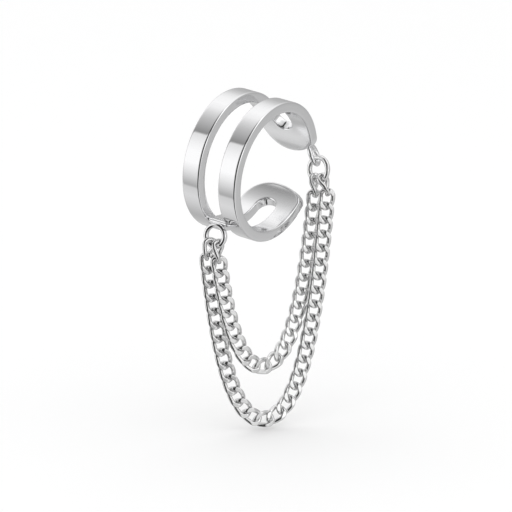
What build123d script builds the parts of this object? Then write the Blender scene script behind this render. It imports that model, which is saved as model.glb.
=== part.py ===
"""Ear chain earring: an open slotted ear cuff with two curb-chain swags.

Millimetres, +Z up, as the earring hangs on an ear. The origin is the centre of the
cuff's round hollow, where the rim of the ear sits. The mouth of the C faces +X and the
front rim faces -Y. The cuff's own axis leans a few degrees out of the level.
"""
from build123d import *
from dataclasses import dataclass
import os
from math import asin, atan, cos, degrees, radians, sin

# Cuff strip: outside diameter of the C, wall, width along its axis and lean from the level
cuff_diameter = 12.0
cuff_wall = 0.92
cuff_width = 5.4
cuff_lean = 8.2

# Slot between the two bars, with the angles round the C at which its two ends lie
bar_width = 1.74
slot_upper_end = 30.0
slot_lower_end = 314.5

# Paddle tips: angle of the foremost point, its place across the strip towards the rear, and
# the depth of the quarter ellipses that round the front and rear corners
upper_tip_angle = 7.6
upper_tip_across = -0.4
upper_tip_front_depth = 1.5
upper_tip_rear_depth = 2.7
lower_tip_angle = 333.0
lower_tip_across = 0.0
lower_tip_front_depth = 1.2
lower_tip_rear_depth = 2.1

# Rounding of the strip's edges
edge_radius = 0.12

# Eye of round wire soldered under the front corner of the upper paddle, on a short stem
eye_centre = (5.86, -2.43, 0.232)
eye_radius = 0.83
eye_wire = 0.42
eye_heading = 18.6
eye_tilt = 22.1
eye_stem_length = 0.8

# Cross bar in the slot at the lower back, and the ring soldered to it
cross_bar_angle = 231.0
cross_bar_radius = 5.76
cross_bar_diameter = 0.44
cross_bar_bite = 0.25
lower_ring_centre = (-4.08, 0.74, -5.46)
lower_ring_radius = 0.889
lower_ring_heading = -85.3
lower_ring_tilt = 6.6

# Loose ring in the eye
upper_ring_centre = (5.8, -2.95, -0.953)
upper_ring_radius = 1.02
upper_ring_heading = -98.7
upper_ring_tilt = 7.1
ring_wire = 0.44

# Curb links: wire, half the length and half the width of the wire's centre line, corner
# radius, twist of each end bar about the link's long axis, and spacing along the chain
link_wire = 0.26
link_half_length = 0.818
link_half_width = 0.61
link_corner = 0.34
link_twist = -39.7
link_pitch = 1.21
outer_chain_links = 33
inner_chain_links = 25

# The end links that hold a ring are longer and less twisted
hook_half_length = 0.92
hook_twist = -26.0


@dataclass
class EndHang:
    """How an end link hangs by a ring's wire: angles in degrees, the drop in millimetres."""

    angle: float  # from the ring's lowest point towards the ring's x
    lean: float  # away from the other strand
    drop: float  # from the middle of the ring's wire to the middle of the link
    turn: float  # about the link's own length


outer_lower_hang = EndHang(angle=-31.5, lean=14.5, drop=0.36, turn=-25.5)
outer_upper_hang = EndHang(angle=37.0, lean=26.5, drop=0.38, turn=44.0)
inner_lower_hang = EndHang(angle=21.0, lean=1.5, drop=0.42, turn=-30.0)
inner_upper_hang = EndHang(angle=-20.5, lean=-3.0, drop=0.43, turn=35.0)

cuff_radius = cuff_diameter / 2
mid_radius = cuff_radius - cuff_wall / 2
half_width = cuff_width / 2
slot_width = cuff_width - 2 * bar_width
cut_reach = 2 * cuff_wall
link_overlap = 2 * link_half_length - link_pitch

# The cuff's own directions: out of the mouth, along its axis to the rear, and square to both
mouth_axis = Vector(1, 0, 0)
rear_axis = Vector(0, cos(radians(cuff_lean)), sin(radians(cuff_lean)))
top_axis = Vector(0, -sin(radians(cuff_lean)), cos(radians(cuff_lean)))
profile_plane = Plane(origin=(0, 0, 0), x_dir=mouth_axis, z_dir=-rear_axis)


def cuff_point(radius, angle):
    """A point in the middle of the strip, from its radius and its angle round the C."""
    turn = radians(angle)
    return mouth_axis * (radius * cos(turn)) + top_axis * (radius * sin(turn))


def tangent_plane(angle, x_dir):
    """The plane inside the middle of the wall that faces outwards at this angle."""
    return Plane(origin=cuff_point(mid_radius, angle), x_dir=x_dir, z_dir=cuff_point(1, angle))


def ring_plane(centre, heading, tilt):
    """The plane of a wire ring: x is level along the heading and y points up."""
    turn = radians(heading)
    level = Vector(cos(turn), sin(turn), 0)
    side = Vector(-sin(turn), cos(turn), 0)
    upward = side * sin(radians(tilt)) + Vector(0, 0, 1) * cos(radians(tilt))
    return Plane(origin=centre, x_dir=level, z_dir=level.cross(upward))


def wire_point(plane, radius, angle):
    """A point of a ring's centre line, by its angle from the lowest point towards x."""
    turn = radians(angle)
    return plane.from_local_coords(Vector(radius * sin(turn), -radius * cos(turn), 0))


def sector(inner_radius, outer_radius, start, end):
    """A ring sector in the cuff's profile, between two angles."""
    with BuildSketch(profile_plane) as profile:
        with BuildLine():
            outer = CenterArc((0, 0), outer_radius, start, end - start)
            inner = CenterArc((0, 0), inner_radius, start, end - start)
            Line(outer @ 0, inner @ 0)
            Line(outer @ 1, inner @ 1)
        make_face()
    return profile.sketch


def tip_waste(plane, apex, left_depth, right_depth):
    """What is trimmed off one end of the strip; y of the plane points into the strip."""
    left_reach = half_width + apex
    right_reach = half_width - apex
    outside = half_width + cut_reach
    with BuildSketch(plane) as waste:
        with BuildLine():
            left = EllipticalCenterArc((apex, left_depth), left_reach, left_depth, 180)
            right = EllipticalCenterArc((apex, right_depth), right_reach, right_depth, 270)
            Polyline(
                right @ 1,
                (outside, right_depth),
                (outside, -cut_reach),
                (-outside, -cut_reach),
                (-outside, left_depth),
                left @ 0,
            )
        make_face()
    return waste.sketch


def wire_link(half_length, twist):
    """A closed loop of round wire with four rounded corners, its two end bars twisted apart."""
    level = link_half_width * cos(radians(twist))
    proud = link_half_width * sin(radians(twist))
    with BuildPart() as half_loop:
        with BuildLine() as path:
            FilletPolyline(
                (0, level, 0),
                (half_length, level, proud),
                (half_length, -level, -proud),
                (0, -level, 0),
                radius=link_corner,
            )
        with BuildSketch(Plane(path.line @ 0, z_dir=path.line % 0)):
            Circle(link_wire / 2)
        sweep()
    with BuildPart() as loop:
        with PolarLocations(0, 2):
            add(half_loop)
    return loop.part


def bisect(rises, low, high):
    """The value between low and high at which rises(value) passes zero upwards."""
    for _ in range(60):
        middle = (low + high) / 2
        if rises(middle) < 0:
            low = middle
        else:
            high = middle
    return middle


def hanging_points(start, end, count):
    """The pivots of a chain of equal rigid links that hangs free between two points.

    Each link's slope is the number of links that hang between it and the lowest place,
    over the level pull in the chain, counted in links' weights.
    """
    reach = Vector(end.X - start.X, end.Y - start.Y, 0)
    rise = end.Z - start.Z

    def slopes(pull, lowest):
        return [atan((index - lowest) / pull) for index in range(count)]

    def lowest_for(pull):
        return bisect(
            lambda value: rise - link_pitch * sum(sin(slope) for slope in slopes(pull, value)),
            0,
            count,
        )

    def slack(pull):
        level = sum(cos(slope) for slope in slopes(pull, lowest_for(pull)))
        return link_pitch * level - reach.length

    pull = bisect(slack, 0.1, count)
    points = [start]
    for slope in slopes(pull, lowest_for(pull)):
        step = reach.normalized() * cos(slope) + Vector(0, 0, sin(slope))
        points.append(points[-1] + step * link_pitch)
    return points


def link_plane(middle, run, side, turn=0.0):
    """The plane of a link: x along its run, and facing the side once it is turned about x."""
    square = (side - run * side.dot(run)).normalized()
    facing = square * cos(radians(turn)) - square.cross(run) * sin(radians(turn))
    return Plane(origin=middle, x_dir=run, z_dir=facing)


def end_link(plane, radius, hang):
    """The middle of an end link hung on a ring, its direction, and the pivot below it."""
    away = plane.x_dir * (1 if hang.angle > 0 else -1)
    downward = away * sin(radians(hang.lean)) - Vector(0, 0, 1) * cos(radians(hang.lean))
    middle = wire_point(plane, radius, hang.angle) + downward * hang.drop
    return middle, downward, middle + downward * (hook_half_length - link_overlap / 2)


def hung_chain(count, lower_hang, upper_hang):
    """One swag of so many links, hung from the lower ring to the upper ring."""
    first, first_down, start = end_link(lower_ring_plane, lower_ring_radius, lower_hang)
    last, last_down, end = end_link(upper_ring_plane, upper_ring_radius, upper_hang)
    points = hanging_points(start, end, count - 2)
    facing = Vector(start.Y - end.Y, end.X - start.X, 0).normalized()
    planes = [
        link_plane((upper + lower) / 2, (lower - upper).normalized(), facing)
        for upper, lower in zip(points[:-1], points[1:])
    ]
    with BuildPart() as swag:
        with Locations(*planes):
            add(curb_link)
        with Locations(
            link_plane(first, first_down, facing, lower_hang.turn),
            link_plane(last, -last_down, facing, upper_hang.turn),
        ):
            add(hook_link)
    return swag.part


lower_ring_plane = ring_plane(lower_ring_centre, lower_ring_heading, lower_ring_tilt)
upper_ring_plane = ring_plane(upper_ring_centre, upper_ring_heading, upper_ring_tilt)
eye_plane = ring_plane(eye_centre, eye_heading, eye_tilt)
eye_top = eye_plane.from_local_coords(Vector(0, eye_radius, 0))
slot_end_turn = degrees(asin(slot_width / 2 / mid_radius))

# Ear cuff: the strip, its rounded tips, the slot, then the soldered wire
strip = sector(cuff_radius - cuff_wall, cuff_radius, upper_tip_angle, lower_tip_angle)
upper_waste = tip_waste(
    tangent_plane(upper_tip_angle, rear_axis),
    upper_tip_across,
    upper_tip_front_depth,
    upper_tip_rear_depth,
)
lower_waste = tip_waste(
    tangent_plane(lower_tip_angle, -rear_axis),
    -lower_tip_across,
    lower_tip_rear_depth,
    lower_tip_front_depth,
)
slot_start = slot_upper_end + slot_end_turn
slot_stop = slot_lower_end - slot_end_turn
slot_sides = sector(cuff_radius - cut_reach, cuff_radius + cut_reach, slot_start, slot_stop)

with BuildPart() as ear_cuff:
    extrude(strip, amount=half_width, both=True)
    extrude(upper_waste, amount=cut_reach, both=True, mode=Mode.SUBTRACT)
    extrude(lower_waste, amount=cut_reach, both=True, mode=Mode.SUBTRACT)
    extrude(slot_sides, amount=slot_width / 2, both=True, mode=Mode.SUBTRACT)
    with BuildSketch(tangent_plane(slot_start, rear_axis), tangent_plane(slot_stop, rear_axis)):
        Circle(slot_width / 2)
    extrude(amount=cut_reach, both=True, mode=Mode.SUBTRACT)
    fillet(ear_cuff.edges().filter_by(GeomType.LINE, reverse=True), edge_radius)

    # Cross bar and the ring soldered to it
    with BuildSketch(Plane(origin=cuff_point(cross_bar_radius, cross_bar_angle), z_dir=rear_axis)):
        Circle(cross_bar_diameter / 2)
    extrude(amount=slot_width / 2 + cross_bar_bite, both=True)
    with Locations(lower_ring_plane):
        Torus(lower_ring_radius, ring_wire / 2)

    # Eye and its stem up into the paddle
    with Locations(eye_plane):
        Torus(eye_radius, eye_wire / 2)
    with BuildSketch(Plane(origin=eye_top, z_dir=eye_plane.y_dir)):
        Circle(eye_wire / 2)
    extrude(amount=eye_stem_length)

with BuildPart(upper_ring_plane) as upper_jump_ring:
    Torus(upper_ring_radius, ring_wire / 2)

curb_link = wire_link(link_half_length, link_twist)
hook_link = wire_link(hook_half_length, hook_twist)

with BuildPart() as outer_chain:
    add(hung_chain(outer_chain_links, outer_lower_hang, outer_upper_hang))

with BuildPart() as inner_chain:
    add(hung_chain(inner_chain_links, inner_lower_hang, inner_upper_hang))

pieces = {
    "ear_cuff": ear_cuff,
    "upper_jump_ring": upper_jump_ring,
    "outer_chain": outer_chain,
    "inner_chain": inner_chain,
}
os.makedirs("parts", exist_ok=True)
for name, piece in pieces.items():
    piece.part.label = name
    export_step(piece.part, f"parts/{name}.step")
    print(name, len(piece.part.solids()), "solids,", round(piece.part.volume, 3), "mm3")
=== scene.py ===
"""Ear chain earring: a slotted ear cuff of polished silver with two curb-chain swags.

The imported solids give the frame. The cuff, its soldered rings and the chains are made again
here with the finish of the real thing, in the same places, and stand for those solids.
Sizes in the dataclasses are millimetres and degrees, as in the part's own source.
"""

import logging
import math
from dataclasses import dataclass, field
from enum import Enum
from typing import Any, Callable, Iterable, Sequence

import bpy
import numpy as np
from mathutils import Matrix, Vector


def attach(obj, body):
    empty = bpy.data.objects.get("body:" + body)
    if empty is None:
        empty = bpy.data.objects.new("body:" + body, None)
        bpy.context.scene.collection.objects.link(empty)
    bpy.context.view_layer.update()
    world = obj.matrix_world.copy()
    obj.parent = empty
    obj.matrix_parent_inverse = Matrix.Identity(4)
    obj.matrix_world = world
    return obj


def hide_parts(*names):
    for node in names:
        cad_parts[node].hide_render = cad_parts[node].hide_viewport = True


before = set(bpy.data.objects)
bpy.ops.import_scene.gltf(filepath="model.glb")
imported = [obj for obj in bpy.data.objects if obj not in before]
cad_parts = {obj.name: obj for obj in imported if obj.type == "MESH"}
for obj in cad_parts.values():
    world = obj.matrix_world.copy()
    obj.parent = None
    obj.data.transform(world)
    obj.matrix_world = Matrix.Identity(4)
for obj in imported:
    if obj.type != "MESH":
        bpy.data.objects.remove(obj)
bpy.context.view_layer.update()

LOG = logging.getLogger("ear_chain_earring")
MM = 0.001
IMAGE_PIXELS = 512
BODY = "root"
# A direction that no rod of the earring runs along, to square its rim against
AWRY = (0.3, 0.5, 0.8)
# Number of times that a search interval is halved
HALVINGS = 60
# A point of the strip: reference angle, tangential distance from there, place across
Place = tuple[float, float, float]


def unit(vector: Sequence[float]) -> np.ndarray:
    """A vector's direction."""
    array = np.asarray(vector, float)
    return array / np.linalg.norm(array)


def direction(azimuth: float, elevation: float) -> np.ndarray:
    """The direction of a compass azimuth from -Y towards +X and an elevation, in degrees."""
    turn, rise = math.radians(azimuth), math.radians(elevation)
    return np.array(
        [math.sin(turn) * math.cos(rise), -math.cos(turn) * math.cos(rise), math.sin(rise)]
    )


def linear_colour(code: str) -> tuple[float, float, float, float]:
    """Turns an sRGB hex code to the linear colour that Blender's sockets take.

    Args:
        code: six hex digits, with or without a leading hash.

    Returns:
        Linear red, green, blue and an alpha of one.
    """
    digits = code.lstrip("#")
    channels = [int(digits[i:i + 2], 16) / 255 for i in (0, 2, 4)]
    linear = [c / 12.92 if c <= 0.04045 else ((c + 0.055) / 1.055) ** 2.4 for c in channels]
    return (*linear, 1.0)


def add_node(
    tree: bpy.types.NodeTree,
    kind: str,
    settings: dict[str, Any] | None = None,
    inputs: dict[str | int, Any] | None = None,
) -> bpy.types.Node:
    """Adds one node with its settings, input values and incoming links.

    Args:
        tree: the node tree that takes the node.
        kind: Blender's identifier of the node.
        settings: attributes of the node.
        inputs: value or output socket for each named or numbered input.

    Returns:
        The new node.
    """
    node = tree.nodes.new(kind)
    for name, value in (settings or {}).items():
        setattr(node, name, value)
    for key, value in (inputs or {}).items():
        if isinstance(value, bpy.types.NodeSocket):
            tree.links.new(value, node.inputs[key])
        else:
            node.inputs[key].default_value = value
    return node


def calculate(
    tree: bpy.types.NodeTree, operation: str, *values: bpy.types.NodeSocket | float
) -> bpy.types.NodeSocket:
    """Adds one sum to a node tree.

    Args:
        tree: the node tree.
        operation: Blender's identifier of the sum.
        values: a socket or a number for each of its inputs.

    Returns:
        The socket that carries the result.
    """
    node = add_node(tree, "ShaderNodeMath", {"operation": operation}, dict(enumerate(values)))
    return node.outputs[0]


def link_piece(name: str, mesh: bpy.types.Mesh) -> bpy.types.Object:
    """Makes an object of a mesh and links it to the scene."""
    piece = bpy.data.objects.new(name, mesh)
    bpy.context.scene.collection.objects.link(piece)
    return piece


# Finishes


@dataclass(frozen=True)
class SilverFinish:
    """Bright 925 silver under a thin rhodium flash, and what its making leaves on it.

    The metal's own colour hardly tints what it reflects. The polish shows as a change of
    roughness in fine lines and as a slow waviness of the surface.

    Attributes:
        name: name of the material.
        tint: colour of the metal, as an sRGB hex code.
        roughness_low: roughness where the lines are faintest.
        roughness_high: roughness where the lines are strongest.
        line_spacing: size of the polishing lines.
        line_stretch: how close the lines lie along each axis.
        line_height: depth of the lines.
        wave_size: size of the slow waves.
        wave_height: height of the slow waves.
        satin_roughness: roughness added where the mesh's satin attribute is one.
        line_detail: octaves of the lines.
        line_gain: how strong each finer octave of the lines is.
        line_range: the part of the lines' noise that the roughness follows.
        wave_detail: octaves of the waves.
    """

    name: str
    tint: str
    roughness_low: float
    roughness_high: float
    line_spacing: float
    line_stretch: tuple[float, float, float]
    line_height: float
    wave_size: float
    wave_height: float
    satin_roughness: float = 0.0
    line_detail: float = 3.0
    line_gain: float = 0.6
    line_range: tuple[float, float] = (0.3, 0.7)
    wave_detail: float = 1.0

    def build(self) -> bpy.types.Material:
        """Builds the material.

        Returns:
            A new node material in the object's own coordinates.
        """
        material = bpy.data.materials.new(self.name)
        material.use_nodes = True
        tree = material.node_tree
        tree.nodes.clear()
        place = add_node(tree, "ShaderNodeTexCoord").outputs["Object"]
        stretched = add_node(
            tree, "ShaderNodeMapping", inputs={"Vector": place, "Scale": self.line_stretch}
        )
        lines = add_node(
            tree,
            "ShaderNodeTexNoise",
            {"noise_dimensions": "3D"},
            {
                "Vector": stretched.outputs["Vector"],
                "Scale": 1 / (self.line_spacing * MM),
                "Detail": self.line_detail,
                "Roughness": self.line_gain,
            },
        )
        waves = add_node(
            tree,
            "ShaderNodeTexNoise",
            {"noise_dimensions": "3D"},
            {
                "Vector": place,
                "Scale": 1 / (self.wave_size * MM),
                "Detail": self.wave_detail,
            },
        )
        roughness = add_node(
            tree,
            "ShaderNodeMapRange",
            inputs={
                "Value": lines.outputs["Fac"],
                "From Min": self.line_range[0],
                "From Max": self.line_range[1],
                "To Min": self.roughness_low,
                "To Max": self.roughness_high,
            },
        )
        satin = add_node(tree, "ShaderNodeAttribute", {"attribute_name": "satin"})
        dulled = calculate(
            tree,
            "MULTIPLY_ADD",
            satin.outputs["Fac"],
            self.satin_roughness,
            roughness.outputs["Result"],
        )
        waviness = add_node(
            tree,
            "ShaderNodeBump",
            inputs={
                "Height": waves.outputs["Fac"],
                "Distance": self.wave_height * MM,
                "Strength": 1.0,
            },
        )
        relief = add_node(
            tree,
            "ShaderNodeBump",
            inputs={
                "Height": lines.outputs["Fac"],
                "Normal": waviness.outputs["Normal"],
                "Distance": self.line_height * MM,
                "Strength": 1.0,
            },
        )
        shader = add_node(
            tree,
            "ShaderNodeBsdfPrincipled",
            inputs={
                "Base Color": linear_colour(self.tint),
                "Metallic": 1.0,
                "Roughness": dulled,
                "Normal": relief.outputs["Normal"],
            },
        )
        add_node(
            tree, "ShaderNodeOutputMaterial", inputs={"Surface": shader.outputs["BSDF"]}
        )
        return material


class Finish(Enum):
    """The finishes of the earring, each with the name that is logged for it."""

    # Rolled strip, buffed on a wheel to a mirror: faint lines run round the C
    POLISHED_STRIP = "polished_silver"
    # Drawn wire, bent and soldered, then tumbled: nearly smooth, lines along the draw
    DRAWN_WIRE = "drawn_wire_silver"
    # Machine-made curb chain, filed flat on both sides and tumbled with steel shot
    CURB_CHAIN = "curb_chain_silver"


SILVERS: dict[Finish, SilverFinish] = {
    Finish.POLISHED_STRIP: SilverFinish(
        name="mirror_buffed_rhodium_flashed_silver",
        tint="#F6F6F7",
        roughness_low=0.035,
        roughness_high=0.085,
        line_spacing=0.16,
        line_stretch=(0.12, 1.0, 0.12),
        line_height=0.00008,
        wave_size=2.6,
        wave_height=0.0035,
        satin_roughness=0.1,
    ),
    Finish.DRAWN_WIRE: SilverFinish(
        name="tumbled_drawn_silver_wire",
        tint="#F3F3F3",
        roughness_low=0.05,
        roughness_high=0.12,
        line_spacing=0.2,
        line_stretch=(1.0, 1.0, 1.0),
        line_height=0.0002,
        wave_size=0.9,
        wave_height=0.004,
    ),
    Finish.CURB_CHAIN: SilverFinish(
        name="filed_and_tumbled_silver_curb_chain",
        tint="#F1F1F1",
        roughness_low=0.06,
        roughness_high=0.16,
        line_spacing=0.14,
        line_stretch=(1.0, 1.0, 1.0),
        line_height=0.0004,
        wave_size=0.5,
        wave_height=0.004,
    ),
}

SILVERS_BUILT: dict[Finish, bpy.types.Material] = {}


# The frame of the cuff and the wire rings, shared by the pieces that sit on them


@dataclass(frozen=True)
class CuffFrame:
    """The round form of the C, whose axis leans out of the level."""

    diameter: float = 12.0
    wall: float = 0.92
    lean: float = 8.2

    @property
    def mid_radius(self) -> float:
        """Radius of the middle of the wall."""
        return (self.diameter - self.wall) / 2

    @property
    def mouth_axis(self) -> np.ndarray:
        """Direction out of the mouth of the C."""
        return np.array([1.0, 0.0, 0.0])

    @property
    def rear_axis(self) -> np.ndarray:
        """Direction along the axis of the C, to the rear."""
        lean = math.radians(self.lean)
        return np.array([0.0, math.cos(lean), math.sin(lean)])

    @property
    def top_axis(self) -> np.ndarray:
        """Direction square to the other two, upwards."""
        return np.cross(self.mouth_axis, self.rear_axis)

    def radial(self, angle: float | np.ndarray) -> np.ndarray:
        """Direction out of the axis at an angle in degrees, or one for each of several."""
        turn = np.radians(np.asarray(angle, float))[..., None]
        return np.cos(turn) * self.mouth_axis + np.sin(turn) * self.top_axis

    def point(self, radius: np.ndarray, angle: np.ndarray, across: np.ndarray) -> np.ndarray:
        """Places in space of points given by radius, angle and place across the strip."""
        return self.radial(angle) * np.asarray(radius, float)[..., None] + (
            self.rear_axis * np.asarray(across, float)[..., None]
        )


CUFF = CuffFrame()


@dataclass(frozen=True)
class RingFrame:
    """A round wire ring and how it hangs.

    Attributes:
        centre: centre of the ring.
        radius: radius of the wire's middle line.
        wire: diameter of the wire.
        heading: compass turn of the ring's level direction, from +X towards +Y.
        tilt: lean of the ring's plane out of the upright.
    """

    centre: tuple[float, float, float]
    radius: float
    wire: float
    heading: float
    tilt: float

    @property
    def level(self) -> np.ndarray:
        """The level direction in the ring's plane."""
        turn = math.radians(self.heading)
        return np.array([math.cos(turn), math.sin(turn), 0.0])

    @property
    def upward(self) -> np.ndarray:
        """The steepest upward direction in the ring's plane."""
        turn, tilt = math.radians(self.heading), math.radians(self.tilt)
        side = np.array([-math.sin(turn), math.cos(turn), 0.0])
        return side * math.sin(tilt) + np.array([0.0, 0.0, math.cos(tilt)])

    def wire_point(self, angle: float) -> np.ndarray:
        """The wire's middle at an angle from the lowest point towards the level direction."""
        turn = math.radians(angle)
        return np.asarray(self.centre) + self.radius * (
            math.sin(turn) * self.level - math.cos(turn) * self.upward
        )


LOWER_RING = RingFrame(
    centre=(-4.08, 0.74, -5.46), radius=0.889, wire=0.44, heading=-85.3, tilt=6.6
)
UPPER_RING = RingFrame(
    centre=(5.8, -2.95, -0.953), radius=1.02, wire=0.44, heading=-98.7, tilt=7.1
)
EYE = RingFrame(centre=(5.86, -2.43, 0.232), radius=0.83, wire=0.42, heading=18.6, tilt=22.1)


# Meshes


@dataclass
class MeshParts:
    """Vertices in millimetres and faces, gathered from several closed shells.

    Attributes:
        points: the shells' vertices, one array a shell.
        satin: for each vertex, how much less polished the surface is there.
        faces: vertex numbers of each face.
        count: number of vertices so far.
    """

    points: list[np.ndarray] = field(default_factory=list)
    satin: list[np.ndarray] = field(default_factory=list)
    faces: list[tuple[int, ...]] = field(default_factory=list)
    count: int = 0

    def add_grid(
        self, grid: np.ndarray, close_rows: bool = True, satin: np.ndarray | None = None
    ) -> None:
        """Adds a tube of rings of points, whose last ring joins the first or is capped.

        Args:
            grid: array of rings by points by three, each ring a closed loop.
            close_rows: True joins the last ring to the first, False caps both ends.
            satin: for each point of a ring, how much less polished the surface is there.
        """
        rows, columns = grid.shape[:2]
        self.points.append(grid.reshape(-1, 3))
        self.satin.append(np.tile(np.zeros(columns) if satin is None else satin, rows))
        index = self.count + np.arange(rows * columns).reshape(rows, columns)
        last = rows if close_rows else rows - 1
        for row in range(last):
            one, two = index[row], index[(row + 1) % rows]
            for column in range(columns):
                following = (column + 1) % columns
                self.faces.append(
                    (one[column], one[following], two[following], two[column])
                )
        if not close_rows:
            self.faces.append(tuple(index[0][::-1]))
            self.faces.append(tuple(index[-1]))
        self.count += rows * columns

    def add_ring(self, ring: RingFrame, around: int = 96, section: int = 24) -> None:
        """Adds a ring of round wire."""
        turn = np.linspace(0, 2 * np.pi, around, endpoint=False)[:, None, None]
        bend = np.linspace(0, 2 * np.pi, section, endpoint=False)[None, :, None]
        outward = np.cos(turn) * ring.level + np.sin(turn) * ring.upward
        normal = np.cross(ring.level, ring.upward)
        reach = ring.radius + ring.wire / 2 * np.cos(bend)
        grid = np.asarray(ring.centre) + outward * reach - normal * np.sin(bend) * ring.wire / 2
        self.add_grid(grid)

    def add_rod(
        self,
        start: np.ndarray,
        end: np.ndarray,
        diameter: float,
        along: int = 6,
        section: int = 24,
    ) -> None:
        """Adds a straight round rod between two points."""
        axis = unit(end - start)
        side = unit(np.cross(axis, AWRY))
        other = np.cross(axis, side)
        turn = np.linspace(0, 2 * np.pi, section, endpoint=False)[:, None]
        rim = (np.cos(turn) * side + np.sin(turn) * other) * diameter / 2
        grid = np.stack([point + rim for point in np.linspace(start, end, along)])
        self.add_grid(grid, close_rows=False)

    def build(self, name: str) -> bpy.types.Object:
        """Makes the smooth-shaded object and links it to the scene."""
        mesh = bpy.data.meshes.new(name)
        mesh.from_pydata((np.vstack(self.points) * MM).tolist(), [], self.faces)
        satin = mesh.attributes.new("satin", "FLOAT", "POINT")
        satin.data.foreach_set("value", np.concatenate(self.satin))
        mesh.validate()
        mesh.shade_smooth()
        return link_piece(name, mesh)


def dress(piece: bpy.types.Object, finish: Finish, *nodes: str) -> None:
    """Gives a piece its finish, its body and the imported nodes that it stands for."""
    piece.data.materials.clear()
    piece.data.materials.append(SILVERS_BUILT[finish])
    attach(piece, BODY)
    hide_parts(*nodes)
    triangles = sum(len(face.vertices) - 2 for face in piece.data.polygons)
    LOG.info("%s: %d triangles, dressed as %s", piece.name, triangles, finish.value)


# The cuff and its rings


@dataclass(frozen=True)
class PaddleTip:
    """One rounded end of the strip, as cut square to the strip at its foremost point.

    Attributes:
        angle: angle round the C of the foremost point.
        across: its place across the strip, towards the rear.
        front_depth: depth of the quarter ellipse that rounds the front corner.
        rear_depth: depth of the quarter ellipse that rounds the rear corner.
        slot_end: angle round the C of the slot's end next to it.
        way: +1 if angles grow from the tip into the strip, else -1.
    """

    angle: float
    across: float
    front_depth: float
    rear_depth: float
    slot_end: float
    way: int


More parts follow.
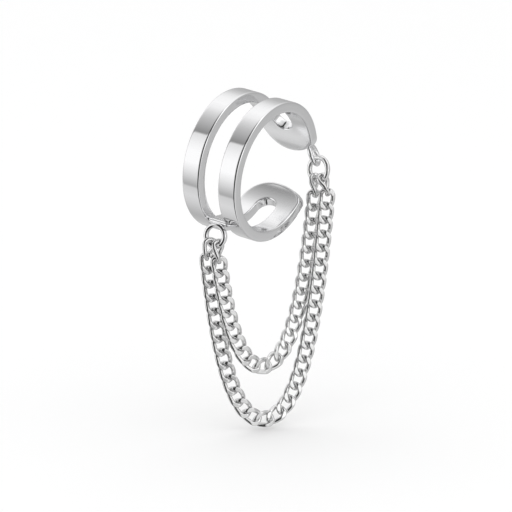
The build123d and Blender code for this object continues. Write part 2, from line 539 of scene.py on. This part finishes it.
@dataclass
class EarCuff:
    """The slotted strip bent to a C, with the wire that is soldered to it.

    Attributes:
        width: width of the strip.
        bar: width of each of the two bars beside the slot.
        edge: radius of the rounding of every edge.
        upper: the strip's end above the mouth.
        lower: the strip's end below the mouth.
        cross_bar_angle: angle round the C of the cross bar.
        cross_bar_radius: distance of the cross bar from the axis of the C.
        cross_bar_diameter: thickness of the cross bar.
        cross_bar_bite: depth of each end of the cross bar in its bar.
        eye_stem: length of the eye's stem, up into the strip.
        skew_run: angle over which the lean of a paddle's cut dies out along the bars.
        bar_stations: cross-sections along each bar.
        paddle_stations: cross-sections round each paddle.
        outline_steps: points of each quarter ellipse, before they are spaced evenly.
        face_steps: faces across the strip, outside and inside.
        edge_steps: faces round each rounded edge.
        wall_steps: faces through the thickness of the wall.
    """

    width: float = 5.4
    bar: float = 1.74
    edge: float = 0.15
    upper: PaddleTip = PaddleTip(
        angle=7.6, across=-0.4, front_depth=1.5, rear_depth=2.7, slot_end=30.0, way=1
    )
    lower: PaddleTip = PaddleTip(
        angle=333.0, across=0.0, front_depth=1.2, rear_depth=2.1, slot_end=314.5, way=-1
    )
    cross_bar_angle: float = 231.0
    cross_bar_radius: float = 5.76
    cross_bar_diameter: float = 0.44
    cross_bar_bite: float = 0.25
    eye_stem: float = 0.8
    skew_run: float = 18.0
    bar_stations: int = 250
    paddle_stations: int = 84
    outline_steps: int = 200
    face_steps: int = 14
    edge_steps: int = 5
    wall_steps: int = 3

    @property
    def slot_width(self) -> float:
        """Width of the slot."""
        return self.width - 2 * self.bar

    def slot_centre(self, tip: PaddleTip) -> float:
        """Angle of the middle of the slot's round end."""
        back = math.degrees(math.asin(self.slot_width / 2 / CUFF.mid_radius))
        return tip.slot_end + tip.way * back

    def run_in(self, tip: PaddleTip) -> float:
        """Distance from the tip to where the paddle meets the bars, square to the cut."""
        back_angle = (self.slot_centre(tip) - tip.angle) * tip.way
        return CUFF.mid_radius * math.sin(math.radians(back_angle))

    def cut_skew(self, tip: PaddleTip, radius: np.ndarray) -> np.ndarray:
        """How far the square cut leans out of the radial plane where the bars begin."""
        run = tip.way * self.run_in(tip)
        return np.degrees(np.arcsin(run / radius) - np.arcsin(run / CUFF.mid_radius))

    def bar_skew(self, angle: float, radius: np.ndarray) -> np.ndarray:
        """The cut's lean, which dies out along the bars over a few degrees."""
        skew = np.zeros_like(radius)
        for tip in (self.upper, self.lower):
            share = max(0.0, 1 - abs(angle - self.slot_centre(tip)) / self.skew_run)
            skew = skew + share * self.cut_skew(tip, radius)
        return skew

    def tip_outline(self, tip: PaddleTip) -> np.ndarray:
        """Rows of tangential distance from the tip and place across, from rear to front."""
        half = self.width / 2
        sweep = np.linspace(0, np.pi / 2, self.outline_steps)
        rear_across = tip.across + (half - tip.across) * np.cos(sweep)
        front_across = tip.across - (half + tip.across) * np.sin(sweep)
        rear = np.c_[tip.rear_depth * (1 - np.sin(sweep)), rear_across]
        front = np.c_[tip.front_depth * (1 - np.cos(sweep)), front_across]
        start = self.run_in(tip)
        line = np.vstack([[start, half], rear, front[1:], [start, -half]])
        steps = np.r_[0, np.cumsum(np.linalg.norm(np.diff(line, axis=0), axis=1))]
        marks = np.linspace(0, steps[-1], self.paddle_stations)
        return np.stack([np.interp(marks, steps, line[:, i]) for i in (0, 1)], axis=1)

    def section(self, length: float) -> tuple[np.ndarray, np.ndarray]:
        """The strip's cross-section between the slot and the rim.

        Args:
            length: distance from the slot's edge to the rim at this station.

        Returns:
            Fractions of the length from the slot's edge, and heights over the middle of the
            wall, of a closed loop of points.
        """
        half_wall, edge = CUFF.wall / 2, self.edge
        across: list[float] = []
        height: list[float] = []

        def line(start: tuple[float, float], end: tuple[float, float], steps: int) -> None:
            """Adds a straight run without its last point."""
            for step in range(steps):
                part = step / steps
                across.append(start[0] + (end[0] - start[0]) * part)
                height.append(start[1] + (end[1] - start[1]) * part)

        def bend(centre: tuple[float, float], first: float) -> None:
            """Adds a quarter circle that turns from a first angle, clockwise."""
            for step in range(self.edge_steps):
                turn = math.radians(first - 90 * step / self.edge_steps)
                across.append(centre[0] + edge * math.cos(turn))
                height.append(centre[1] + edge * math.sin(turn))

        line((edge, half_wall), (length - edge, half_wall), self.face_steps)
        bend((length - edge, half_wall - edge), 90)
        line((length, half_wall - edge), (length, edge - half_wall), self.wall_steps)
        bend((length - edge, edge - half_wall), 0)
        line((length - edge, -half_wall), (edge, -half_wall), self.face_steps)
        bend((edge, edge - half_wall), -90)
        line((0, edge - half_wall), (0, half_wall - edge), self.wall_steps)
        bend((edge, half_wall - edge), 180)
        return np.asarray(across) / length, np.asarray(height)

    def stations(self) -> list[tuple[Place, Place]]:
        """Pairs of a slot point and a rim point, once round the slot."""
        half, half_slot = self.width / 2, self.slot_width / 2
        first, last = self.slot_centre(self.upper), self.slot_centre(self.lower)
        pairs = []
        for angle in np.linspace(first, last, self.bar_stations, endpoint=False):
            pairs.append(((angle, 0.0, half_slot), (angle, 0.0, half)))
        pairs += self.paddle(self.lower, last, half_slot)[:-1]
        for angle in np.linspace(last, first, self.bar_stations, endpoint=False):
            pairs.append(((angle, 0.0, -half_slot), (angle, 0.0, -half)))
        pairs += self.paddle(self.upper, first, half_slot)[:0:-1]
        return pairs

    def paddle(
        self, tip: PaddleTip, slot_angle: float, half_slot: float
    ) -> list[tuple[Place, Place]]:
        """Stations that fan out round one end of the slot, from rear to front."""
        rows = []
        turns = np.linspace(90, -90, self.paddle_stations)
        for turn, (inward, across) in zip(np.radians(turns), self.tip_outline(tip)):
            ahead = -tip.way * half_slot * math.cos(turn)
            slot = (slot_angle, ahead, half_slot * math.sin(turn))
            rows.append((slot, (tip.angle, tip.way * inward, across)))
        return rows

    def strip_grid(self) -> tuple[np.ndarray, np.ndarray]:
        """The whole strip as rings of cross-section points, and each point's satin share."""
        rings = []
        height = np.zeros(0)
        for slot, rim in self.stations():
            slot_angle = slot[0] + math.degrees(math.asin(slot[1] / CUFF.mid_radius))
            rim_angle = rim[0] + math.degrees(math.asin(rim[1] / CUFF.mid_radius))
            run = math.radians(rim_angle - slot_angle) * CUFF.mid_radius
            part, height = self.section(math.hypot(run, rim[2] - slot[2]))
            radius = CUFF.mid_radius + height
            near = slot[0] + np.degrees(np.arcsin(slot[1] / radius))
            far = rim[0] + np.degrees(np.arcsin(rim[1] / radius))
            if rim[1] == 0 and slot[1] == 0:
                far = far + self.bar_skew(rim[0], radius)
            angle = near + (far - near) * part
            across = slot[2] + (rim[2] - slot[2]) * part
            rings.append(CUFF.point(radius, angle, across))
        return np.stack(rings), np.clip(-height / (CUFF.wall / 2 - self.edge), 0, 1)

    def build(self) -> bpy.types.Object:
        """Builds the cuff with its cross bar, soldered ring, eye and stem as one piece."""
        parts = MeshParts()
        grid, satin = self.strip_grid()
        parts.add_grid(grid, satin=satin)
        middle = CUFF.radial(self.cross_bar_angle) * self.cross_bar_radius
        reach = CUFF.rear_axis * (self.slot_width / 2 + self.cross_bar_bite)
        parts.add_rod(middle - reach, middle + reach, self.cross_bar_diameter)
        parts.add_ring(LOWER_RING)
        parts.add_ring(EYE)
        eye_top = np.asarray(EYE.centre) + EYE.upward * EYE.radius
        parts.add_rod(eye_top, eye_top + EYE.upward * self.eye_stem, EYE.wire)
        piece = parts.build("polished_ear_cuff")
        dress(piece, Finish.POLISHED_STRIP, "ear_cuff")
        return piece


@dataclass
class UpperJumpRing:
    """The loose wire ring in the eye."""

    ring: RingFrame = UPPER_RING

    def build(self) -> bpy.types.Object:
        """Builds the ring."""
        parts = MeshParts()
        parts.add_ring(self.ring)
        piece = parts.build("tumbled_upper_jump_ring")
        dress(piece, Finish.DRAWN_WIRE, "upper_jump_ring")
        return piece


# The chains


@dataclass(frozen=True)
class EndHang:
    """How an end link hangs by a ring's wire.

    Attributes:
        angle: from the ring's lowest point towards its level direction.
        lean: away from the other strand.
        turn: about the link's own length.
        pivot: from the middle of the ring's wire to the next link's pivot.
    """

    angle: float
    lean: float
    turn: float
    pivot: float


@dataclass
class CurbChain:
    """One swag of curb links that hangs between the two rings.

    Attributes:
        name: name of the piece.
        node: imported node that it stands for.
        links: number of links, with the two end links.
        lower: how the first link hangs by the soldered ring.
        upper: how the last link hangs by the jump ring.
        pitch: distance between the middles of neighbouring links.
        wire: diameter of the wire.
        half_length: half the length of the loop that the middle of the wire follows.
        half_width: half the width of that loop.
        corner: radius of its corners.
        corner_steps: points round each corner, before the path is spaced evenly.
        twist: turn of a link's end against its middle.
        filed_height: distance from a link's middle to each of its filed faces.
        path_steps: cross-sections round a link.
        wire_sides: points of each cross-section.
        jitter: largest random turn of a link about its own length, either way.
        seed: seed of the random turns.
        roll: turn of the free links about the vertical, towards the camera.
        least_pull: least level pull that is tried, in links' weights.
    """

    name: str
    node: str
    links: int
    lower: EndHang
    upper: EndHang
    pitch: float = 1.21
    wire: float = 0.385
    half_length: float = 0.80
    half_width: float = 0.53
    corner: float = 0.47
    corner_steps: int = 8
    twist: float = -42.0
    filed_height: float = 0.31
    path_steps: int = 44
    wire_sides: int = 20
    jitter: float = 1.2
    seed: int = 11
    roll: float = 20.0
    least_pull: float = 0.1

    @staticmethod
    def hang_from(ring: RingFrame, hang: EndHang) -> tuple[np.ndarray, np.ndarray]:
        """The point where the chain's free links start, and the end link's direction."""
        side = 1 if hang.angle > 0 else -1
        lean = math.radians(hang.lean)
        down = ring.level * side * math.sin(lean) - np.array([0, 0, math.cos(lean)])
        return ring.wire_point(hang.angle) + down * hang.pivot, down

    def slopes(self, pull: float, lowest: float) -> np.ndarray:
        """Slope of each free link, for a level pull counted in links' weights."""
        return np.arctan((np.arange(self.links - 2) - lowest) / pull)

    def pivots(self, start: np.ndarray, end: np.ndarray) -> np.ndarray:
        """Pivots of equal rigid links that hang free between two points."""
        level = np.array([*(end - start)[:2], 0.0])
        span, rise, free = np.linalg.norm(level), (end - start)[2], self.links - 2

        def bisect(rises: Callable[[float], float], low: float, high: float) -> float:
            """The value at which a rising function passes zero."""
            middle = low
            for _ in range(HALVINGS):
                middle = (low + high) / 2
                low, high = (middle, high) if rises(middle) < 0 else (low, middle)
            return middle

        def lowest(pull: float) -> float:
            """Number of links before the lowest place."""
            return bisect(
                lambda value: rise - self.pitch * np.sin(self.slopes(pull, value)).sum(),
                0.0,
                float(free),
            )

        pull = bisect(
            lambda value: self.pitch * np.cos(self.slopes(value, lowest(value))).sum() - span,
            self.least_pull,
            float(free),
        )
        points = [start]
        for slope in self.slopes(pull, lowest(pull)):
            step = level / span * math.cos(slope) + np.array([0, 0, math.sin(slope)])
            points.append(points[-1] + step * self.pitch)
        return np.array(points)

    @staticmethod
    def link_turn(run: np.ndarray, side: np.ndarray, turn: float) -> Matrix:
        """Rotation that lays a link's x along the run and faces it to the side."""
        x = unit(run)
        z = unit(side - x * float(x @ side))
        y = np.cross(z, x)
        angle = math.radians(turn)
        face = z * math.cos(angle) - y * math.sin(angle)
        return Matrix(np.stack([x, np.cross(face, x), face], axis=1).tolist())

    def link_path(self) -> bpy.types.Object:
        """A mesh of one vertex per link, with its rotation and stretch as attributes."""
        start, start_down = self.hang_from(LOWER_RING, self.lower)
        end, end_down = self.hang_from(UPPER_RING, self.upper)
        points = self.pivots(start, end)
        side = unit((start[1] - end[1], end[0] - start[0], 0.0))
        roll = math.radians(self.roll)
        rolled = side * math.cos(roll) + np.cross(side, (0, 0, 1)) * math.sin(roll)
        reach = (LOWER_RING.wire + self.wire) / 2
        overlap = self.half_length - self.pitch / 2

        def hook(pivot: np.ndarray, down: np.ndarray, hang: EndHang) -> tuple[np.ndarray, float]:
            """Middle and stretch of an end link that rests on its ring's wire."""
            half = (reach + hang.pivot + overlap) / 2
            return pivot + down * (overlap - half), half / self.half_length

        first, first_stretch = hook(start, start_down, self.lower)
        last, last_stretch = hook(end, end_down, self.upper)
        centres = [first]
        turns = [self.link_turn(start_down, side, self.lower.turn)]
        for one, two in zip(points[:-1], points[1:]):
            centres.append((one + two) / 2)
            turns.append(self.link_turn(two - one, rolled, 0.0))
        centres.append(last)
        turns.append(self.link_turn(-end_down, side, self.upper.turn))
        mesh = bpy.data.meshes.new(self.name)
        mesh.from_pydata((np.array(centres) * MM).tolist(), [], [])
        stretches = [first_stretch, *[1.0] * (self.links - 2), last_stretch]
        hang = mesh.attributes.new("hang", "FLOAT_VECTOR", "POINT")
        for row, turn in zip(hang.data, turns):
            row.vector = turn.to_euler()
        size = mesh.attributes.new("size", "FLOAT_VECTOR", "POINT")
        for row, stretch in zip(size.data, stretches):
            row.vector = (stretch, 1.0, 1.0)
        return link_piece(self.name, mesh)

    def link_tree(self) -> tuple[bpy.types.NodeTree, dict[str, Any]]:
        """The tree that bends, twists and files one link and hangs a copy at each point.

        Returns:
            The tree, and the value of each named input.
        """
        tree = bpy.data.node_groups.new("curb_links", "GeometryNodeTree")
        values: dict[str, Any] = {}
        tree.interface.new_socket("Geometry", in_out="OUTPUT", socket_type="NodeSocketGeometry")
        for name, kind, value in (
            ("Geometry", "Geometry", None),
            ("Link Length", "Float", 2 * self.half_length * MM),
            ("Link Width", "Float", 2 * self.half_width * MM),
            ("Corner Radius", "Float", self.corner * MM),
            ("Corner Steps", "Int", self.corner_steps),
            ("Wire Radius", "Float", self.wire / 2 * MM),
            ("Twist", "Float", math.radians(self.twist)),
            ("Filed Height", "Float", self.filed_height * MM),
            ("Path Steps", "Int", self.path_steps),
            ("Wire Sides", "Int", self.wire_sides),
            ("Jitter", "Float", math.radians(self.jitter)),
            ("Seed", "Int", self.seed),
            ("Material", "Material", SILVERS_BUILT[Finish.CURB_CHAIN]),
        ):
            tree.interface.new_socket(name, in_out="INPUT", socket_type=f"NodeSocket{kind}")
            values[name] = value

        inlet = add_node(tree, "NodeGroupInput").outputs
        flat = add_node(
            tree,
            "GeometryNodeCurvePrimitiveQuadrilateral",
            {"mode": "RECTANGLE"},
            {"Width": inlet["Link Length"], "Height": inlet["Link Width"]},
        )
        oval = add_node(
            tree,
            "GeometryNodeFilletCurve",
            {"mode": "POLY"},
            {
                "Curve": flat.outputs["Curve"],
                "Radius": inlet["Corner Radius"],
                "Count": inlet["Corner Steps"],
            },
        )
        even = add_node(
            tree,
            "GeometryNodeResampleCurve",
            inputs={"Curve": oval.outputs["Curve"], "Count": inlet["Path Steps"]},
        )
        place = add_node(tree, "GeometryNodeInputPosition").outputs["Position"]
        apart = add_node(tree, "ShaderNodeSeparateXYZ", inputs={0: place}).outputs
        half = calculate(tree, "MULTIPLY", inlet["Link Length"], 0.5)
        share = calculate(tree, "DIVIDE", apart["X"], half)
        twisted = add_node(
            tree,
            "ShaderNodeVectorRotate",
            {"rotation_type": "X_AXIS"},
            {"Vector": place, "Angle": calculate(tree, "MULTIPLY", share, inlet["Twist"])},
        )
        skew = add_node(
            tree,
            "GeometryNodeSetPosition",
            inputs={"Geometry": even.outputs["Curve"], "Position": twisted.outputs["Vector"]},
        )
        section = add_node(
            tree,
            "GeometryNodeCurvePrimitiveCircle",
            {"mode": "RADIUS"},
            {"Resolution": inlet["Wire Sides"], "Radius": inlet["Wire Radius"]},
        )
        wire = add_node(
            tree,
            "GeometryNodeCurveToMesh",
            inputs={"Curve": skew.outputs["Geometry"], "Profile Curve": section.outputs["Curve"]},
        )
        low = calculate(tree, "MULTIPLY", inlet["Filed Height"], -1.0)
        capped = calculate(tree, "MINIMUM", apart["Z"], inlet["Filed Height"])
        both = calculate(tree, "MAXIMUM", capped, low)
        joined = add_node(
            tree,
            "ShaderNodeCombineXYZ",
            inputs={"X": apart["X"], "Y": apart["Y"], "Z": both},
        )
        filed = add_node(
            tree,
            "GeometryNodeSetPosition",
            inputs={"Geometry": wire.outputs["Mesh"], "Position": joined.outputs["Vector"]},
        )
        hang, size = (
            add_node(
                tree,
                "GeometryNodeInputNamedAttribute",
                {"data_type": "FLOAT_VECTOR"},
                {"Name": name},
            ).outputs["Attribute"]
            for name in ("hang", "size")
        )
        settled = add_node(tree, "FunctionNodeEulerToRotation", inputs={0: hang})
        # The random node's sockets 2 and 3 are the least and the most of a plain number
        least = calculate(tree, "MULTIPLY", inlet["Jitter"], -1.0)
        loose = add_node(
            tree,
            "FunctionNodeRandomValue",
            {"data_type": "FLOAT"},
            {2: least, 3: inlet["Jitter"], "Seed": inlet["Seed"]},
        )
        roll = add_node(tree, "ShaderNodeCombineXYZ", inputs={"X": loose.outputs[1]})
        roll_turn = add_node(
            tree, "FunctionNodeEulerToRotation", inputs={0: roll.outputs["Vector"]}
        )
        turned = add_node(
            tree,
            "FunctionNodeRotateRotation",
            {"rotation_space": "LOCAL"},
            {0: settled.outputs[0], 1: roll_turn.outputs[0]},
        )
        hung = add_node(
            tree,
            "GeometryNodeInstanceOnPoints",
            inputs={
                "Points": inlet["Geometry"],
                "Instance": filed.outputs["Geometry"],
                "Rotation": turned.outputs[0],
                "Scale": size,
            },
        )
        real = add_node(
            tree, "GeometryNodeRealizeInstances", inputs={"Geometry": hung.outputs["Instances"]}
        )
        smooth = add_node(
            tree,
            "GeometryNodeSetShadeSmooth",
            inputs={"Geometry": real.outputs["Geometry"], "Shade Smooth": True},
        )
        dressed = add_node(
            tree,
            "GeometryNodeSetMaterial",
            inputs={"Geometry": smooth.outputs["Geometry"], "Material": inlet["Material"]},
        )
        add_node(tree, "NodeGroupOutput", inputs={"Geometry": dressed.outputs["Geometry"]})
        return tree, values

    def build(self) -> bpy.types.Object:
        """Builds the swag as one plain mesh."""
        path = self.link_path()
        tree, values = self.link_tree()
        modifier = path.modifiers.new("curb_links", "NODES")
        modifier.node_group = tree
        for item in tree.interface.items_tree:
            if item.in_out == "INPUT" and values.get(item.name) is not None:
                modifier[item.identifier] = values[item.name]
        bpy.context.view_layer.update()
        graph = bpy.context.evaluated_depsgraph_get()
        solid = bpy.data.meshes.new_from_object(path.evaluated_get(graph))
        bpy.data.objects.remove(path)
        solid.name = self.name
        piece = link_piece(self.name, solid)
        dress(piece, Finish.CURB_CHAIN, self.node)
        return piece


# Studio


@dataclass
class Studio:
    """Pale floor, soft light and the camera at the photograph's angle.

    The light tent, which is what the polished metal shows, is the product of two rows of
    grey levels. One goes round the cuff's own axis, and its panels give the wide bands on the
    cuff. The other goes round the compass, and its black cloth gives the thin dark lines.

    Attributes:
        azimuth: compass direction of the camera, from -Y towards +X.
        elevation: height of the camera over the level.
        pixels_per_mm: scale of the picture at the origin.
        distance: distance of the camera from the origin.
        shift_right: place of the origin in the picture, right of its middle.
        shift_up: place of the origin in the picture, above its middle.
        sensor: width of the camera's sensor.
        clip: nearest and farthest distance that the camera shows.
        floor_height: height of the floor.
        floor_half: half the width of the floor.
        floor_white: linear grey of the floor's paper.
        floor_roughness: roughness of the floor's paper.
        floor_shine: specular level of the floor's paper.
        background: level that the camera sees behind everything.
        fill: level that lights matt surfaces.
        tent: angles round the cuff's axis, from +X upwards, each with its level.
        front: angles round the compass, from +Y towards -X, each with its level.
    """

    azimuth: float = -55.179
    elevation: float = 12.0
    pixels_per_mm: float = 11.9623
    distance: float = 233.730
    shift_right: float = -0.4336
    shift_up: float = 7.6374
    sensor: float = 36.0
    clip: tuple[float, float] = (10.0, 50000.0)
    floor_height: float = -22.8
    floor_half: float = 3000.0
    floor_white: float = 0.97
    floor_roughness: float = 0.6
    floor_shine: float = 0.08
    background: float = 0.985
    fill: float = 1.13
    tent: tuple[tuple[float, float], ...] = (
        (0, 0.43),
        (24, 0.52),
        (36, 0.65),
        (48, 0.87),
        (60, 1.0),
        (74, 1.04),
        (86, 0.94),
        (96, 0.74),
        (108, 0.55),
        (118, 0.44),
        (132, 0.27),
        (135, 0.80),
        (150, 0.97),
        (162, 1.06),
        (180, 1.06),
        (192, 0.89),
        (204, 0.69),
        (216, 0.47),
        (219.5, 0.43),
        (223, 0.66),
        (240, 0.74),
        (252, 0.68),
        (264, 0.6),
        (276, 0.52),
        (288, 0.47),
        (312, 0.55),
        (324, 0.62),
        (342, 0.52),
        (360, 0.43),
    )
    front: tuple[tuple[float, float], ...] = (
        (0, 1.0),
        (60, 1.0),
        (68, 0.05),
        (127, 0.05),
        (136, 0.93),
        (156, 1.1),
        (190, 1.3),
        (212, 0.95),
        (360, 1.0),
    )

    def axes(self) -> tuple[np.ndarray, np.ndarray, np.ndarray]:
        """The camera's right, up and backward directions."""
        back = direction(self.azimuth, self.elevation)
        turn = math.radians(self.azimuth)
        right = np.array([math.cos(turn), math.sin(turn), 0.0])
        return right, np.cross(back, right), back

    def build_camera(self) -> None:
        """Makes the camera."""
        right, up, back = self.axes()
        place = back * self.distance - right * self.shift_right - up * self.shift_up
        lens = bpy.data.cameras.new("camera")
        lens.sensor_width = self.sensor
        lens.lens = self.pixels_per_mm * self.distance / IMAGE_PIXELS * self.sensor
        lens.clip_start, lens.clip_end = (MM * distance for distance in self.clip)
        camera = bpy.data.objects.new("camera", lens)
        turn = Matrix(np.stack([right, up, back], axis=1).tolist())
        camera.matrix_world = Matrix.LocRotScale(Vector(place * MM), turn.to_quaternion(), None)
        bpy.context.scene.collection.objects.link(camera)
        bpy.context.scene.camera = camera

    def build_floor(self) -> None:
        """Makes the plain pale floor."""
        reach, height = self.floor_half * MM, self.floor_height * MM
        corners = [(-reach, -reach, height), (reach, -reach, height)]
        corners += [(reach, reach, height), (-reach, reach, height)]
        mesh = bpy.data.meshes.new("floor")
        mesh.from_pydata(corners, [], [(0, 1, 2, 3)])
        floor = link_piece("floor", mesh)
        material = bpy.data.materials.new("matt_white_paper")
        material.use_nodes = True
        shader = material.node_tree.nodes["Principled BSDF"]
        shader.inputs["Base Color"].default_value = (*[self.floor_white] * 3, 1)
        shader.inputs["Roughness"].default_value = self.floor_roughness
        shader.inputs["Specular IOR Level"].default_value = self.floor_shine
        mesh.materials.append(material)
        floor.visible_glossy = False

    @staticmethod
    def add_bands(
        tree: bpy.types.NodeTree,
        rise: bpy.types.NodeSocket,
        run: bpy.types.NodeSocket,
        levels: Sequence[tuple[float, float]],
    ) -> tuple[bpy.types.NodeSocket, float]:
        """Adds grey bands that change with one angle of the direction.

        Args:
            tree: the world's node tree.
            rise: the direction's part towards a quarter turn.
            run: the direction's part towards the angle of nought.
            levels: angles in degrees from 0 to 360, each with its level.

        Returns:
            The colour, with the highest level scaled to one, and that level.
        """
        turn = calculate(tree, "ARCTAN2", rise, run)
        share = calculate(tree, "MULTIPLY", turn, 1 / (2 * math.pi))
        whole = calculate(tree, "FRACT", share)
        ramp = add_node(tree, "ShaderNodeValToRGB", inputs={"Fac": whole})
        stops = ramp.color_ramp.elements
        top = max(level for _, level in levels)
        ready = len(stops)
        for position, (angle, level) in enumerate(levels):
            stop = stops[position] if position < ready else stops.new(angle / 360)
            stop.position = angle / 360
            stop.color = (level / top, level / top, level / top, 1)
        return ramp.outputs["Color"], top

    def build_light(self) -> None:
        """Makes the light tent."""
        world = bpy.data.worlds.new("light_tent")
        world.use_nodes = True
        bpy.context.scene.world = world
        tree = world.node_tree
        tree.nodes.clear()
        way = add_node(tree, "ShaderNodeTexCoord").outputs["Generated"]
        part = add_node(tree, "ShaderNodeSeparateXYZ", inputs={0: way}).outputs
        panels, top = self.add_bands(tree, part["Z"], part["X"], self.tent)
        left = calculate(tree, "MULTIPLY", part["X"], -1.0)
        shades, most = self.add_bands(tree, left, part["Y"], self.front)
        tent = add_node(
            tree, "ShaderNodeVectorMath", {"operation": "MULTIPLY"}, {0: panels, 1: shades}
        )
        shown = add_node(
            tree,
            "ShaderNodeBackground",
            inputs={"Color": tent.outputs["Vector"], "Strength": top * most},
        )
        plain, fill = (
            add_node(
                tree,
                "ShaderNodeBackground",
                inputs={"Color": (1, 1, 1, 1), "Strength": strength},
            )
            for strength in (self.background, self.fill)
        )
        ray = add_node(tree, "ShaderNodeLightPath").outputs
        lit = add_node(
            tree,
            "ShaderNodeMixShader",
            inputs={0: ray["Is Diffuse Ray"], 1: shown.outputs[0], 2: fill.outputs[0]},
        )
        seen = add_node(
            tree,
            "ShaderNodeMixShader",
            inputs={0: ray["Is Camera Ray"], 1: lit.outputs[0], 2: plain.outputs[0]},
        )
        add_node(tree, "ShaderNodeOutputWorld", inputs={"Surface": seen.outputs[0]})

    def build(self) -> None:
        """Makes the camera, the floor and the light, and shows colours as they are."""
        self.build_camera()
        self.build_floor()
        self.build_light()
        bpy.context.scene.view_settings.view_transform = "Standard"


OUTER = CurbChain(
    name="outer_curb_chain",
    node="outer_chain",
    links=33,
    lower=EndHang(angle=-31.5, lean=14.5, turn=-25.5, pivot=1.067),
    upper=EndHang(angle=37.0, lean=26.5, turn=44.0, pivot=1.087),
)
INNER = CurbChain(
    name="inner_curb_chain",
    node="inner_chain",
    links=25,
    lower=EndHang(angle=21.0, lean=1.5, turn=-30.0, pivot=1.127),
    upper=EndHang(angle=-20.5, lean=-3.0, turn=35.0, pivot=1.137),
    seed=23,
)


def main() -> None:
    """Builds the pieces in order and reports each."""
    logging.basicConfig(level=logging.INFO, format="%(name)s: %(message)s")
    for finish, silver in SILVERS.items():
        SILVERS_BUILT[finish] = silver.build()
    Studio().build()
    EarCuff().build()
    UpperJumpRing().build()
    OUTER.build()
    INNER.build()


if __name__ == "__main__":
    main()
